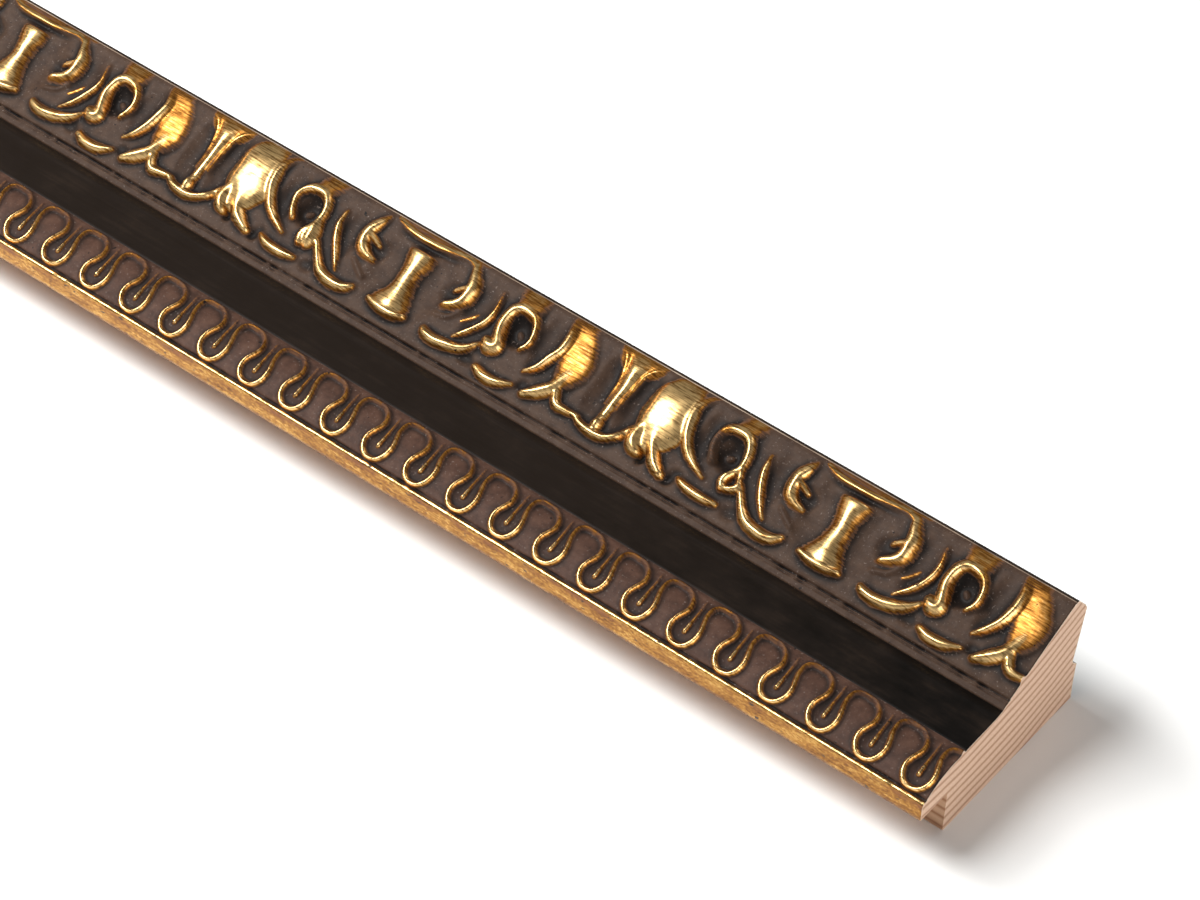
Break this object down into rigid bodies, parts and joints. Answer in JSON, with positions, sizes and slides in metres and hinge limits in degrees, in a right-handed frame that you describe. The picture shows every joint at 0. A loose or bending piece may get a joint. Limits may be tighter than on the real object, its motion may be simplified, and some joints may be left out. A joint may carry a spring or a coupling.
{
  "type": "picture frame moulding",
  "caption": "Straight stick of picture frame moulding with a rabbet, a serpentine line with darts, a plain dark panel and a rising band of acanthus scrolls.",
  "frame": {"origin": "middle of the flat back's level, under the middle of the moulding's box", "axes": "+X along the stick to the near cut end, +Y from the sight edge to the outer edge, +Z from the back to the ridge"},
  "size_m": [0.2376, 0.0422, 0.0244],
  "materials": {
    "aged_gilt_finish": "pine with a gesso ground, satin taupe paint and a black panel, the raised parts and the lip in rubbed gold leaf, cut ends and back bare"
  },
  "bodies": {
    "root": {"picture_frame_moulding": "aged_gilt_finish"}
  },
  "joints": []
}
